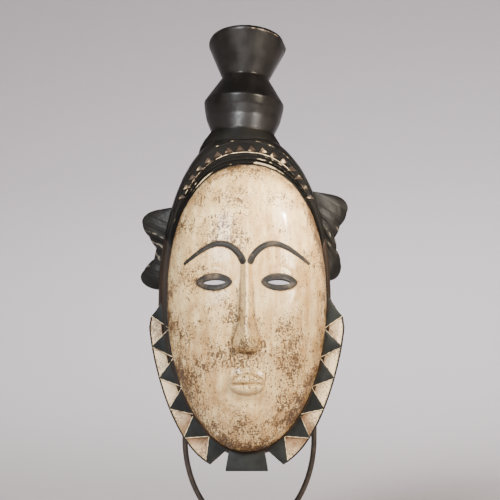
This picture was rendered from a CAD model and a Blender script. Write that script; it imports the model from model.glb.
import math

import bmesh
import bpy
import numpy as np
from mathutils import Matrix, Vector
from mathutils.bvhtree import BVHTree


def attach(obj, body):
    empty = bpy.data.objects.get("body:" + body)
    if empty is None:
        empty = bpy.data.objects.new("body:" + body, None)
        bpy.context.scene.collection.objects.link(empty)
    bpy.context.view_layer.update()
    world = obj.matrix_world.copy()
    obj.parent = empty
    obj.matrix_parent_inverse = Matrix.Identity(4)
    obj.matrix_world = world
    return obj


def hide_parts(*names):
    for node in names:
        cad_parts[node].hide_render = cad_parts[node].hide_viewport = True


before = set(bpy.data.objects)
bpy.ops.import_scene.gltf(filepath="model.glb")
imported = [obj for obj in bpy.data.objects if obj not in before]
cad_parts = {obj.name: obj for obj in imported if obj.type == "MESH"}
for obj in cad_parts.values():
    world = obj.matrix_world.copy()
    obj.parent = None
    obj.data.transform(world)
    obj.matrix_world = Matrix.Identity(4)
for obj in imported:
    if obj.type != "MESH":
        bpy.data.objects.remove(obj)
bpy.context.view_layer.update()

# Everything of the mask is made in its own upright frame: z = 0 at the chin tab's lower end,
# y = 0 at the back rim, the face towards -Y. It is then leaned back and set on the rod.
place = {
    "shift": (-0.0025, 0.001262, 0.10665),
    "lean": math.radians(8),
}
toWorld = Matrix.Translation(place["shift"]) @ Matrix.Rotation(-place["lean"], 4, "X")
bodyPieces = []


# Outlines of face, head and hollow, which the other pieces of the mask are set out from

face = {
    "halfWidth": 0.075,
    "height": 0.272,
    "chin": 0.018,  # its lower end above the chin tab's
    "widest": 0.52,  # share of its height where it is widest
    "bulge": 0.040,
    "step": 0.0045,  # from the head's front edge out to the face's edge
    "upperPower": 2.25,
    "lowerPower": 2.0,
    "flatness": 2.4,
    "roundness": 0.62,
    "columns": 216,
    "rows": 372,
    "rimDensity": 0.02,
    "softRim": (1.0, 0.93),  # shares between which the features die away
    "ripple": (0.016, 4, 0.00022),  # size, seed and height of the hand's unevenness
    "backing": 0.008,
    "backRings": (1.0, 0.93, 0.8, 0.55, 0.25),
    "scallops": 26,
    "scallopDepth": 0.006,
    "wear": {"all": 0.22, "low": 0.50, "creases": 0.40, "rim": 0.6, "most": 1.3},
    "cleanLips": (0, 0.003, 0.019, 0.016, 0.75),  # across, above the parting, half sizes, how clean
    # across, height, half width, half height, how much more wear
    "rubbed": (
        (-0.045, 0.140, 0.014, 0.026, 0.55), (0.040, 0.128, 0.011, 0.026, 0.40),
        (0.050, 0.235, 0.012, 0.030, 0.30), (-0.030, 0.262, 0.030, 0.014, 0.30),
        (0.052, 0.175, 0.012, 0.020, 0.30), (-0.056, 0.190, 0.010, 0.022, 0.30),
    ),
}

head = {
    "depth": 0.060,
    "reveal": 0.0055,  # how much wider than the face
    "capRise": 0.037,
    "chinWall": 0.004,
    "fullness": 4.5,
    "sideShift": -0.004,
    "leftSwell": 0.0045,
    "sideWall": 0.0095,
    "topWall": 0.008,
    "lowWall": 0.010,
    "hollowDepth": 0.0925,
    "hollowPower": 2.6,
    "sunk": 0.005,  # how far its front lies under the face piece
    "frontRows": (0.2, 0.45, 0.7, 0.88, 0.97),
    "hollowRows": (0.0, 0.08, 0.18, 0.3, 0.42, 0.52, 0.62, 0.7, 0.78, 0.84, 0.9, 0.94, 0.97, 0.985),
    "gouging": (0.022, 12, 0.0005),  # size, seed and height
    "ripple": (0.03, 9, 0.0002),
}

middle = face["chin"] + face["widest"] * face["height"]
hairline = face["chin"] + face["height"]
capTop = hairline + head["capRise"]
browLine = face["chin"] + face["height"] * 2 / 3
noseBase = face["chin"] + face["height"] / 3
mouthLine = noseBase - face["height"] / 9
eyeLine = (face["chin"] + capTop) / 2


def smoothStep(low, high, value):
    t = np.clip((value - low) / (high - low), 0, 1)
    return t * t * (3 - 2 * t)


def signedPower(value, power):
    return np.sign(value) * np.abs(value) ** power


def swell(x, z, across, height, halfWidth, halfHeight, rise):
    # a soft round hump, sunk where the rise is below zero
    return rise * np.exp(-(((x - across) / halfWidth) ** 2 + ((z - height) / halfHeight) ** 2))


def oval(angle, halfWidth, rise, drop):
    cosine, sine = np.cos(angle), np.sin(angle)
    power = np.where(sine > 0, 2 / face["upperPower"], 2 / face["lowerPower"])
    height = np.where(sine > 0, rise, drop)
    return halfWidth * signedPower(cosine, power), middle + height * signedPower(sine, power)


def faceOutline(angle):
    return oval(angle, face["halfWidth"], hairline - middle, middle - face["chin"])


def headOutline(angle):
    drop = middle - face["chin"] + head["chinWall"]
    x, z = oval(angle, face["halfWidth"] + head["reveal"], capTop - middle, drop)
    x = x - head["leftSwell"] * np.maximum(-np.cos(angle), 0) ** 6
    return x + head["sideShift"] * np.maximum(np.sin(angle), 0) ** 2, z


def hollowOutline(angle):
    halfWidth = face["halfWidth"] + head["reveal"] - head["sideWall"]
    upper, lower = hairline - head["topWall"] - middle, middle - face["chin"] - head["lowWall"]
    return oval(angle, halfWidth, upper, lower)


def faceShare(x, z):
    power = np.where(z > middle, face["upperPower"], face["lowerPower"])
    height = np.where(z > middle, hairline - middle, middle - face["chin"])
    return (np.abs(x / face["halfWidth"]) ** power + np.abs((z - middle) / height) ** power) ** (1 / power)


def faceDepth(x, z):
    share = np.minimum(faceShare(x, z), 1.0)
    dome = np.maximum(1 - share ** face["flatness"], 0) ** face["roundness"]
    return head["depth"] + face["step"] + face["bulge"] * dome


def capPoint(angle, share):
    faceX, faceZ = faceOutline(angle)
    headX, headZ = headOutline(angle)
    depth = head["depth"] * np.maximum(1 - share ** head["fullness"], 0) ** (1 / head["fullness"])
    return np.stack([faceX + (headX - faceX) * share, -depth, faceZ + (headZ - faceZ) * share], axis=-1)


def capNormal(angle, share):
    step = 0.01
    along = capPoint(angle + step, share) - capPoint(angle - step, share)
    across = capPoint(angle, np.minimum(share + step, 1.0)) - capPoint(angle, np.maximum(share - step, 0.0))
    normal = np.cross(along, across)
    normal /= np.linalg.norm(normal, axis=-1, keepdims=True) + 1e-12
    outward = capPoint(angle, share) - np.array([0, -head["depth"] / 2, middle])
    sign = np.sign(np.sum(normal * outward, axis=-1, keepdims=True))
    return normal * sign


def hollowShare(depth):
    return (1 - (depth / head["hollowDepth"]) ** head["hollowPower"]) ** (1 / head["hollowPower"])


# Meshes

def smoothNoise(points, scale, seed, height=1.0):
    # soft repeatable unevenness from seven turned waves, between -height and height
    slowest, faster, fade, evenOut = 0.6, 0.22, 0.35, 3.2
    chance = np.random.default_rng(seed)
    total = np.zeros(points.shape[:-1])
    for octave in range(7):
        direction = chance.normal(size=3)
        direction /= np.linalg.norm(direction)
        rate = 2 * math.pi / scale * (slowest + faster * octave)
        total += np.sin(points @ direction * rate + chance.uniform(0, 2 * math.pi)) / (1 + fade * octave)
    return total / evenOut * height


def setAttribute(mesh, label, values):
    layer = mesh.attributes.get(label) or mesh.attributes.new(label, "FLOAT", "POINT")
    layer.data.foreach_set("value", np.asarray(values, dtype=np.float32).ravel())


def vertexPlaces(mesh):
    values = np.zeros(len(mesh.vertices) * 3)
    mesh.vertices.foreach_get("co", values)
    return values.reshape(-1, 3)


def makeMesh(name, points, faces, attributes=None):
    mesh = bpy.data.meshes.new(name)
    mesh.from_pydata(np.asarray(points).reshape(-1, 3).tolist(), [], faces)
    for label, values in (attributes or {}).items():
        setAttribute(mesh, label, values)
    mesh.update()
    return mesh


def addObject(name, mesh):
    item = bpy.data.objects.new(name, mesh)
    bpy.context.scene.collection.objects.link(item)
    return item


def loftFaces(rings, around, start=0, tips=(None, None)):
    # faces between closed rings of points; each end closes on a tip point or stays open
    faces = []
    for row in range(rings - 1):
        low, high = start + row * around, start + (row + 1) * around
        for k in range(around):
            j = (k + 1) % around
            faces.append((low + k, low + j, high + j, high + k))
    for tip, row, turned in ((tips[0], 0, True), (tips[1], rings - 1, False)):
        if tip is None:
            continue
        base = start + row * around
        for k in range(around):
            j = (k + 1) % around
            faces.append((base + j, base + k, tip) if turned else (base + k, base + j, tip))
    return faces


def faceOutwards(item):
    work = bmesh.new()
    work.from_mesh(item.data)
    bmesh.ops.recalc_face_normals(work, faces=work.faces[:])
    work.to_mesh(item.data)
    work.free()


def loftObject(name, loops, tips, attributes=None):
    # a closed shell through rings of points, with one point to close each end
    loops = np.asarray(loops)
    rings, around = loops.shape[:2]
    points = [*loops.reshape(-1, 3), *tips]
    ends = (len(points) - 2, len(points) - 1)
    given = (attributes or {}).items()
    extra = {label: np.append(np.asarray(values).ravel(), [0, 0]) for label, values in given}
    item = addObject(name, makeMesh(name, points, loftFaces(rings, around, 0, ends), extra))
    faceOutwards(item)
    return item


def tubeObject(name, path, radius, sides=28):
    # a round bar along a path that never runs straight to the back
    path = [Vector(p) for p in path]
    turns = [2 * math.pi * k / sides for k in range(sides)]
    loops = []
    for i, point in enumerate(path):
        ahead = (path[min(i + 1, len(path) - 1)] - path[max(i - 1, 0)]).normalized()
        across = ahead.cross(Vector((0, 1, 0))).normalized()
        behind = across.cross(ahead)
        size = radius[i] if isinstance(radius, list) else radius
        loops.append([tuple(point + (behind * math.cos(t) + across * math.sin(t)) * size) for t in turns])
    return loftObject(name, loops, [np.array(path[0]), np.array(path[-1])])


def applyModifiers(item):
    graph = bpy.context.evaluated_depsgraph_get()
    result = bpy.data.meshes.new_from_object(item.evaluated_get(graph))
    item.modifiers.clear()
    item.data = result


def cutAway(base, cutters, solver):
    for cutter in cutters:
        step = base.modifiers.new(cutter.name, "BOOLEAN")
        step.operation = "DIFFERENCE"
        step.solver = solver
        if solver == "EXACT":
            step.material_mode = "TRANSFER"
        step.object = cutter
    applyModifiers(base)
    for cutter in cutters:
        bpy.data.objects.remove(cutter, do_unlink=True)


def softenEdges(item, width, material, angle=30):
    step = item.modifiers.new("soften", "BEVEL")
    step.width = width
    step.segments = 2
    step.limit_method = "ANGLE"
    step.angle_limit = math.radians(angle)
    step.material = material
    step.use_clamp_overlap = True
    applyModifiers(item)


def settle(item, node, materials, sharp, inMaskFrame=True):
    # moves a finished piece into the world, gives it its materials and hands it to the frame
    if inMaskFrame:
        item.data.transform(toWorld)
    keep = [polygon.material_index for polygon in item.data.polygons]
    item.data.materials.clear()
    for material in materials:
        item.data.materials.append(material)
    item.data.polygons.foreach_set("material_index", [min(k, len(materials) - 1) for k in keep])
    item.data.shade_smooth()
    item.data.set_sharp_from_angle(angle=math.radians(sharp))
    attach(item, "root")
    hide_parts(node)
    bodyPieces.append(item)


# Materials

def newMaterial(name):
    material = bpy.data.materials.new(name)
    material.use_nodes = True
    tree = material.node_tree
    tree.nodes.clear()
    output = tree.nodes.new("ShaderNodeOutputMaterial")
    shader = tree.nodes.new("ShaderNodeBsdfPrincipled")
    tree.links.new(shader.outputs["BSDF"], output.inputs["Surface"])
    return material, tree, shader


def fill(tree, socket, value):
    if isinstance(value, bpy.types.NodeSocket):
        tree.links.new(value, socket)
    elif socket.type == "RGBA":
        socket.default_value = (*value, 1.0)
    else:
        socket.default_value = value


def addNode(tree, kind, inputs=None, **settings):
    node = tree.nodes.new(kind)
    for label, value in settings.items():
        setattr(node, label, value)
    for label, value in (inputs or {}).items():
        fill(tree, node.inputs[label], value)
    return node


def mathNode(tree, operation, first, second, clamp=False):
    node = addNode(tree, "ShaderNodeMath", {0: first, 1: second}, operation=operation, use_clamp=clamp)
    return node.outputs[0]


def times(tree, first, second, clamp=False):
    return mathNode(tree, "MULTIPLY", first, second, clamp)


def plus(tree, first, second):
    return mathNode(tree, "ADD", first, second)


def swing(tree, noise, size):
    # the noise about zero
    return times(tree, mathNode(tree, "SUBTRACT", noise, 0.5), size)


def mixColour(tree, factor, first, second):
    node = addNode(tree, "ShaderNodeMix", data_type="RGBA")
    for number, value in ((0, factor), (6, first), (7, second)):
        fill(tree, node.inputs[number], value)
    return node.outputs[2]


def rangeNode(tree, value, low, high, outLow=0.0, outHigh=1.0):
    inputs = {0: value, 1: low, 2: high, 3: outLow, 4: outHigh}
    return addNode(tree, "ShaderNodeMapRange", inputs, clamp=True).outputs[0]


def noiseNode(tree, vector, scale, detail, roughness, offset=0.0, turn=(0, 0, 0), stretch=(1, 1, 1)):
    shift = (offset, offset * 0.7, -offset)
    inputs = {"Vector": vector, "Location": shift, "Rotation": turn, "Scale": stretch}
    mapping = addNode(tree, "ShaderNodeMapping", inputs)
    inputs = {"Vector": mapping.outputs[0], "Scale": scale, "Detail": detail, "Roughness": roughness}
    return addNode(tree, "ShaderNodeTexNoise", inputs).outputs[0]


def attribute(tree, name):
    return addNode(tree, "ShaderNodeAttribute", attribute_name=name).outputs["Fac"]


def objectPlace(tree):
    return addNode(tree, "ShaderNodeTexCoord").outputs["Object"]


def group(name, inputs, outputs):
    tree = bpy.data.node_groups.new(name, "ShaderNodeTree")
    for label, value in inputs.items():
        tree.interface.new_socket(label, in_out="INPUT", socket_type="NodeSocketFloat").default_value = value
    for label in outputs:
        tree.interface.new_socket(label, in_out="OUTPUT", socket_type="NodeSocketFloat")
    return tree, tree.nodes.new("NodeGroupInput"), tree.nodes.new("NodeGroupOutput")


def bumpInto(tree, shader, height, distance, strength):
    node = addNode(tree, "ShaderNodeBump", {"Height": height, "Distance": distance, "Strength": strength})
    tree.links.new(node.outputs[0], shader.inputs["Normal"])


speckles = {
    # noise scale, detail, roughness, offset, turn, stretch, pull of the amount, first and full mark
    "Dots": (620.0, 2.0, 0.6, 1.7, (0, 0, 0), (1, 1, 1), 1.0, 0.635, 0.675),
    "Blots": (225.0, 3.5, 0.62, 0.0, (0.15, -0.35, 0.1), (2.1, 1.0, 0.72), 1.15, 0.645, 0.70),
    "Scratches": (130.0, 3.0, 0.72, 0.0, (0.2, 0.45, 0.3), (1.0, 1.0, 7.0), 0.6, 0.655, 0.69),
}


def speckleGroup():
    # tiny dark dots, larger blots in clusters and short scratches, thicker where Amount is higher
    tree, source, sink = group("speckle", {"Amount": 0.5}, speckles)
    where = objectPlace(tree)
    patches = swing(tree, noiseNode(tree, where, 30.0, 4.0, 0.6, 5.6), 0.66)
    bias = plus(tree, times(tree, source.outputs["Amount"], 0.13), patches)
    for name, (scale, detail, roughness, offset, turn, stretch, pull, first, full) in speckles.items():
        noise = noiseNode(tree, where, scale, detail, roughness, offset, turn, stretch)
        mark = rangeNode(tree, plus(tree, noise, times(tree, bias, pull)), first, full)
        tree.links.new(mark, sink.inputs[name])
    return tree


def wornEdgeGroup():
    # paint rubbed off where the attribute fed into Edge is high, broken up by noise
    tree, source, sink = group("wornEdge", {"Edge": 0.0, "Strength": 1.0, "Scale": 160.0}, ("Mask",))
    where = objectPlace(tree)
    rough = noiseNode(tree, where, source.outputs["Scale"], 4.0, 0.65, 7.7)
    wide = noiseNode(tree, where, 34.0, 2.0, 0.5, 2.3)
    mixed = plus(tree, times(tree, rough, 0.6), times(tree, wide, 0.4))
    edge = times(tree, source.outputs["Edge"], source.outputs["Strength"])
    level = plus(tree, mixed, times(tree, edge, 0.42))
    tree.links.new(rangeNode(tree, level, 0.74, 0.84), sink.inputs["Mask"])
    return tree


def useGroup(tree, shared, inputs):
    return addNode(tree, "ShaderNodeGroup", inputs, node_tree=shared).outputs


speckle, wornEdge = speckleGroup(), wornEdgeGroup()

creamColours = {
    "plain": (0.64, 0.445, 0.20),
    "deep": (0.45, 0.27, 0.10),
    "strokes": (0.86, 0.68, 0.38),
    "tanned": (0.30, 0.165, 0.058),
    "stain": (0.135, 0.068, 0.026),
    "charcoal": (0.013, 0.012, 0.011),
    "rubbedCharcoal": (0.10, 0.072, 0.045),
    # colour and strength of each mark
    "marks": {
        "Blots": ((0.115, 0.055, 0.020), 0.82),
        "Scratches": ((0.10, 0.052, 0.022), 0.7),
        "Dots": ((0.055, 0.030, 0.016), 0.88),
    },
}


def creamPaint():
    material, tree, shader = newMaterial("creamPaint")
    where = objectPlace(tree)
    wear, dark, stain = (attribute(tree, name) for name in ("wear", "dark", "stain"))
    wide = noiseNode(tree, where, 16.0, 3.0, 0.55, 0.4)
    cloud = noiseNode(tree, where, 70.0, 5.0, 0.62, 2.0)
    strokes = noiseNode(tree, where, 70.0, 4.0, 0.6, stretch=(3.0, 1.0, 0.5))
    base = mixColour(tree, rangeNode(tree, wide, 0.35, 0.66), creamColours["plain"], creamColours["deep"])
    base = mixColour(tree, rangeNode(tree, strokes, 0.42, 0.70, 0.0, 0.7), base, creamColours["strokes"])
    tanned = times(tree, rangeNode(tree, cloud, 0.36, 0.66), rangeNode(tree, wear, 0.0, 0.65), True)
    base = mixColour(tree, times(tree, tanned, 0.85), base, creamColours["tanned"])
    stained = times(tree, stain, rangeNode(tree, cloud, 0.38, 0.58, 0.35, 0.9))
    base = mixColour(tree, stained, base, creamColours["stain"])
    flecks = useGroup(tree, speckle, {"Amount": wear})
    for name, (colour, strength) in creamColours["marks"].items():
        base = mixColour(tree, times(tree, flecks[name], strength), base, colour)
    darkMask = rangeNode(tree, plus(tree, dark, swing(tree, cloud, 0.7)), 0.42, 0.58)
    rubbed = rangeNode(tree, cloud, 0.50, 0.72)
    charcoal = mixColour(tree, rubbed, creamColours["charcoal"], creamColours["rubbedCharcoal"])
    fill(tree, shader.inputs["Base Color"], mixColour(tree, darkMask, base, charcoal))
    satin = rangeNode(tree, cloud, 0.3, 0.7, 0.26, 0.44)
    fill(tree, shader.inputs["Roughness"], plus(tree, satin, times(tree, darkMask, 0.35)))
    shader.inputs["Specular IOR Level"].default_value = 0.25
    fill(tree, shader.inputs["Coat Weight"], rangeNode(tree, darkMask, 0.0, 1.0, 0.25, 0.04))
    shader.inputs["Coat Roughness"].default_value = 0.15
    pits = plus(tree, times(tree, flecks["Dots"], 0.3), times(tree, flecks["Blots"], 0.3))
    bumpInto(tree, shader, mathNode(tree, "SUBTRACT", times(tree, cloud, 0.6), pits), 0.0010, 0.6)
    return material


rubbedPaints = {
    # paint, worn paint, roughness, how much is worn, coat, specular level
    "glossBlack": ((0.0042, 0.0036, 0.0032), (0.24, 0.18, 0.12), 0.34, 0.80, 0.12, 0.15),
    "bandPaint": ((0.0034, 0.0030, 0.0025), (0.60, 0.47, 0.29), 0.55, 1.0, 0.0, 0.07),
    "tuftPaint": ((0.0070, 0.0064, 0.0057), (0.16, 0.14, 0.105), 0.48, 0.80, 0.04, 0.15),
    "slatePaint": ((0.0085, 0.0098, 0.0094), (0.20, 0.16, 0.10), 0.50, 0.16, 0.04, 0.15),
    "edgeBlack": ((0.008, 0.007, 0.006), (0.30, 0.23, 0.14), 0.5, 0.30, 0.05, 0.15),
    "wornRim": ((0.10, 0.075, 0.045), (0.72, 0.58, 0.37), 0.55, 0.80, 0.0, 0.15),
    "toothPaint": ((0.015, 0.0085, 0.0042), (0.62, 0.45, 0.25), 0.5, 0.66, 0.02, 0.15),
}


def rubbedPaint(name, colour, wornColour, roughness, strength, coat, specular):
    material, tree, shader = newMaterial(name)
    where = objectPlace(tree)
    cloud = noiseNode(tree, where, 75.0, 5.0, 0.6, 1.1)
    wide = noiseNode(tree, where, 18.0, 2.0, 0.5, 4.0)
    mottle = plus(tree, times(tree, wide, 0.5), times(tree, cloud, 0.5))
    lighter = tuple(c * 2.3 for c in colour)
    base = mixColour(tree, rangeNode(tree, mottle, 0.42, 0.62), colour, lighter)
    rubInputs = {"Edge": attribute(tree, "worn"), "Strength": strength, "Scale": 210.0}
    rub = useGroup(tree, wornEdge, rubInputs)["Mask"]
    fill(tree, shader.inputs["Base Color"], mixColour(tree, times(tree, rub, 0.9), base, wornColour))
    sheen = rangeNode(tree, cloud, 0.3, 0.7, roughness - 0.06, roughness + 0.10)
    fill(tree, shader.inputs["Roughness"], plus(tree, sheen, times(tree, rub, 0.25)))
    shader.inputs["Specular IOR Level"].default_value = specular
    shader.inputs["Coat Weight"].default_value = coat
    shader.inputs["Coat Roughness"].default_value = 0.28
    bumpInto(tree, shader, cloud, 0.0008, 0.35)
    return material


facetColours = {
    "paint": (0.82, 0.64, 0.38),
    "tip": (0.20, 0.10, 0.038),
    "marks": {"Blots": ((0.22, 0.12, 0.055), 0.6), "Dots": ((0.10, 0.055, 0.025), 0.7)},
}


def facetPaint():
    # the sunken triangles, browned towards their tips
    material, tree, shader = newMaterial("facetPaint")
    cloud = noiseNode(tree, objectPlace(tree), 90.0, 4.0, 0.6, 3.0)
    brown = rangeNode(tree, plus(tree, attribute(tree, "tip"), swing(tree, cloud, 0.9)), 0.20, 0.95)
    base = mixColour(tree, brown, facetColours["paint"], facetColours["tip"])
    flecks = useGroup(tree, speckle, {"Amount": 0.55})
    for name, (colour, strength) in facetColours["marks"].items():
        base = mixColour(tree, times(tree, flecks[name], strength), base, colour)
    fill(tree, shader.inputs["Base Color"], base)
    shader.inputs["Roughness"].default_value = 0.5
    bumpInto(tree, shader, cloud, 0.0008, 0.4)
    return material


def plainWood(name, colour, second, roughness, stretch):
    material, tree, shader = newMaterial(name)
    grain = noiseNode(tree, objectPlace(tree), 60.0, 5.0, 0.6, stretch=stretch)
    grained = mixColour(tree, rangeNode(tree, grain, 0.35, 0.68), colour, second)
    fill(tree, shader.inputs["Base Color"], grained)
    shader.inputs["Roughness"].default_value = roughness
    shader.inputs["Specular IOR Level"].default_value = 0.15
    bumpInto(tree, shader, grain, 0.0010, 0.4)
    return material


def darkSteel():
    material, tree, shader = newMaterial("darkSteel")
    cloud = noiseNode(tree, objectPlace(tree), 120.0, 4.0, 0.6)
    base = mixColour(tree, rangeNode(tree, cloud, 0.35, 0.7), (0.040, 0.033, 0.028), (0.075, 0.058, 0.045))
    fill(tree, shader.inputs["Base Color"], base)
    shader.inputs["Metallic"].default_value = 0.6
    fill(tree, shader.inputs["Roughness"], rangeNode(tree, cloud, 0.3, 0.7, 0.36, 0.5))
    bumpInto(tree, shader, cloud, 0.0003, 0.3)
    return material


cream, facet, steel = creamPaint(), facetPaint(), darkSteel()
gloss, bandPaint, tuftPaint, slate, edgeBlack, wornRim, toothPaint = (
    rubbedPaint(name, *values) for name, values in rubbedPaints.items()
)
sideWood = plainWood("sideWood", (0.012, 0.008, 0.0055), (0.030, 0.019, 0.012), 0.6, (1.0, 1.0, 0.25))
hollowWood = plainWood("hollowWood", (0.16, 0.095, 0.050), (0.27, 0.17, 0.095), 0.75, (1.0, 1.0, 0.2))
print("materials made")


# Face: a calm plain one, set out on the usual thirds

features = {
    "brow": {"radius": 0.0026, "span": 0.054, "arch": 0.017, "foot": 0.008, "proud": 0.75,
             "rubbed": (0.0009, 0.30)},
    "eye": {
        "across": 0.030, "width": 0.030, "height": 0.013, "slit": (0.022, 0.0052),
        "rim": 0.0017, "ball": 0.0016,
        "socket": (0.002, 0.021, 0.0125, 0.0032),  # above the eye line, half sizes, depth
        "fold": (0.62, 0.0135, 0.0013, 0.0007),  # share of the width, rise, half width, height
        "rubbed": (0.0008, 0.38),
        "slitEdge": 0.0004,
    },
    "nose": {
        "width": 0.024, "bridge": 0.010, "height": 0.0168,
        # share of the way up, share of the width, share of the height
        "rows": (
            (0.0, 0.80, 0.55), (0.035, 1.0, 0.95), (0.10, 1.0, 1.0), (0.17, 0.82, 0.96),
            (0.30, 0.56, 0.80), (0.60, 0.44, 0.50), (0.92, 0.40, 0.22), (1.0, 0.36, 0.06),
        ),
        "section": ((0, 0.97), (0.2, 0.96), (0.55, 0.62), (0.92, 0.20), (1.15, 0)),
        # across, above the nose's base, half width, half height, rise
        "wing": (0.0088, 0.0060, 0.0032, 0.0046, 0.0022),
        "groove": (0.0064, 0.0090, 0.0014, 0.0050, -0.0007),
    },
    "mouth": {
        "width": 0.034, "height": 0.019, "rise": 0.006, "swellShare": 0.5,
        # share of the height, thickness, middle above the parting
        "lips": ((0.26, 0.0034, 0.0042), (0.28, 0.0038, -0.0044)),
        "parting": (-0.0003, 0.0010, 0.0016),  # above the mouth line, half width, depth
        "philtrum": (0.0030, 0.0007),  # half width, depth
        "dirt": 0.0008,
    },
    # across, above the nose's base, half width, half height, rise
    "cheek": (0.034, 0.020, 0.018, 0.022, 0.0014),
    # across, above the chin, half width, half height, rise
    "chin": (0, 0.028, 0.015, 0.012, 0.0026),
}


def above(level, spot):
    return spot[0], level + spot[1], *spot[2:]


def eyeEdge(offset, width, height):
    # half height of the almond at a distance from its middle
    away = np.minimum(np.abs(offset) / (width / 2), 1.0)
    return height / 2 * (1 - away ** 2) ** 0.675  # pointed at both ends


def distanceToLine(x, z, line):
    # nearest distance to a line of points, and the share of the way along it
    best, share = np.full(x.shape, np.inf), np.zeros(x.shape)
    for i in range(len(line) - 1):
        (ax, az), (bx, bz) = line[i], line[i + 1]
        t = ((x - ax) * (bx - ax) + (z - az) * (bz - az)) / ((bx - ax) ** 2 + (bz - az) ** 2)
        t = np.clip(t, 0, 1)
        away = np.hypot(x - ax - t * (bx - ax), z - az - t * (bz - az))
        nearer = away < best
        best, share = np.where(nearer, away, best), np.where(nearer, (i + t) / (len(line) - 1), share)
    return best, share


def roundBar(distance, radius):
    return radius * np.sqrt(np.maximum(1 - (distance / radius) ** 2, 0))


def browRelief(across, z):
    brow = features["brow"]
    along = np.linspace(0, 1, 49)
    height = browLine - brow["foot"] + brow["arch"] * np.sin(math.pi * along ** 0.75)
    line = list(zip(features["nose"]["bridge"] * 0.35 + brow["span"] * along, height))
    distance, share = distanceToLine(across, z, line)
    radius = brow["radius"] * (1 - 0.5 * share ** 2)
    rubWidth, rub = brow["rubbed"]
    paint = 1 - smoothStep(radius * 0.95, radius * 1.45, distance) - rub * np.exp(-(distance / rubWidth) ** 2)
    under = np.interp(across, [p[0] for p in line], height) - z
    return roundBar(distance, radius) * brow["proud"], paint, under


def eyeRelief(across, z, underBrow):
    eye = features["eye"]
    lift, halfWidth, halfHeight, depth = eye["socket"]
    socket = swell(across, z, eye["across"], eyeLine + lift, halfWidth, halfHeight, depth)
    socket = socket * smoothStep(0.0, 0.006, underBrow) * smoothStep(0.005, 0.013, across)
    offset = across - eye["across"]
    inside = eyeEdge(offset, eye["width"], eye["height"]) - np.abs(z - eyeLine)
    turn = np.linspace(0, 2 * math.pi, 73)
    spread = np.cos(turn) * eye["width"] / 2
    rise = eyeEdge(spread, eye["width"], eye["height"]) * np.sign(np.sin(turn))
    distance, _ = distanceToLine(across, z, list(zip(eye["across"] + spread, eyeLine + rise)))
    rim = roundBar(distance, eye["rim"])
    lens = np.maximum(1 - (offset / (eye["width"] / 2)) ** 2, 0)
    ball = eye["ball"] * smoothStep(0.0, 0.002, inside) * np.sqrt(lens)
    foldShare, foldRise, foldWidth, foldHeight = eye["fold"]
    line = [
        (eye["across"] + eye["width"] * foldShare * s, eyeLine + foldRise * (1 - s ** 2) + 0.001)
        for s in np.linspace(-1, 1, 25)
    ]
    fold, _ = distanceToLine(across, z, line)
    crease = foldHeight * np.exp(-(fold / foldWidth) ** 2)
    rubWidth, rub = eye["rubbed"]
    paint = np.maximum(1 - smoothStep(eye["rim"] * 0.9, eye["rim"] * 1.4, distance), inside > 0)
    paint = paint - rub * np.exp(-(distance / rubWidth) ** 2)
    return np.maximum(ball, rim * 0.9), socket + crease, paint


def noseRelief(across, z):
    nose = features["nose"]
    up = (z - noseBase) / (browLine + 0.004 - noseBase)
    rows, widths, heights = zip(*nose["rows"])
    width = np.maximum(np.interp(up, rows, widths) * nose["width"] / 2, nose["bridge"] / 2)
    tall = np.interp(up, rows, heights) * nose["height"]
    section = np.interp(across / width, *zip(*nose["section"]))
    ridge = tall * section * smoothStep(-0.022, 0.004, up) * smoothStep(1.04, 0.97, up)
    sides = sum(swell(across, z, *above(noseBase, nose[name])) for name in ("wing", "groove"))
    return ridge + sides * smoothStep(-0.012, 0.010, up)


def mouthRelief(x, z):
    mouth = features["mouth"]
    offset = np.abs(x) / (mouth["width"] / 2)
    size = np.maximum(1 - (offset / 0.98) ** 2, 0) ** 0.6
    away = np.hypot(x / (mouth["width"] * 0.60), (z - mouthLine) / (mouth["height"] * 0.82))
    field = mouth["rise"] * mouth["swellShare"] * (1 - smoothStep(0.55, 1.1, away))
    lips = np.zeros_like(x)
    for tallShare, thick, shift in mouth["lips"]:
        half = mouth["height"] * tallShare * size + 1e-6
        near = np.clip((z - mouthLine - shift * size) / half, -1, 1)
        full = (mouth["rise"] * (0.12 + 0.2 * size) + thick * size) * (1 - near ** 2) ** 0.75
        lips = np.maximum(lips, full * (offset < 1))
    lift, halfWidth, depth = mouth["parting"]
    parting = depth * np.exp(-((z - mouthLine - lift) / halfWidth) ** 2) * smoothStep(1.08, 0.85, offset)
    halfWidth, depth = mouth["philtrum"]
    philtrum = depth * np.exp(-(x / halfWidth) ** 2)
    philtrum = philtrum * smoothStep(0, 0.004, noseBase - z) * smoothStep(0, 0.006, z - mouthLine - 0.006)
    return field + lips - parting - philtrum


def lipDirt(x, z):
    # dirt in the parting of the lips
    mouth = features["mouth"]
    near = np.exp(-((z - mouthLine - mouth["parting"][0]) / mouth["dirt"]) ** 2)
    return near * smoothStep(1.02, 0.90, np.abs(x) / (mouth["width"] / 2))


def faceRelief(x, z):
    # how far the carving stands proud of the plain dome, and where dark paint lies on it
    across = np.abs(x)
    browRidge, browPaint, underBrow = browRelief(across, z)
    eyeProud, eyeSunk, eyePaint = eyeRelief(across, z, underBrow)
    cheek = swell(across, z, *above(noseBase, features["cheek"]))
    chin = swell(x, z, *above(face["chin"], features["chin"]))
    relief = cheek + chin - eyeSunk + mouthRelief(x, z)
    relief = np.maximum(relief, noseRelief(across, z) + np.minimum(relief, 0) * 0.4)
    return relief + np.maximum(browRidge, 0) + eyeProud, np.maximum(browPaint, eyePaint)


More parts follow.
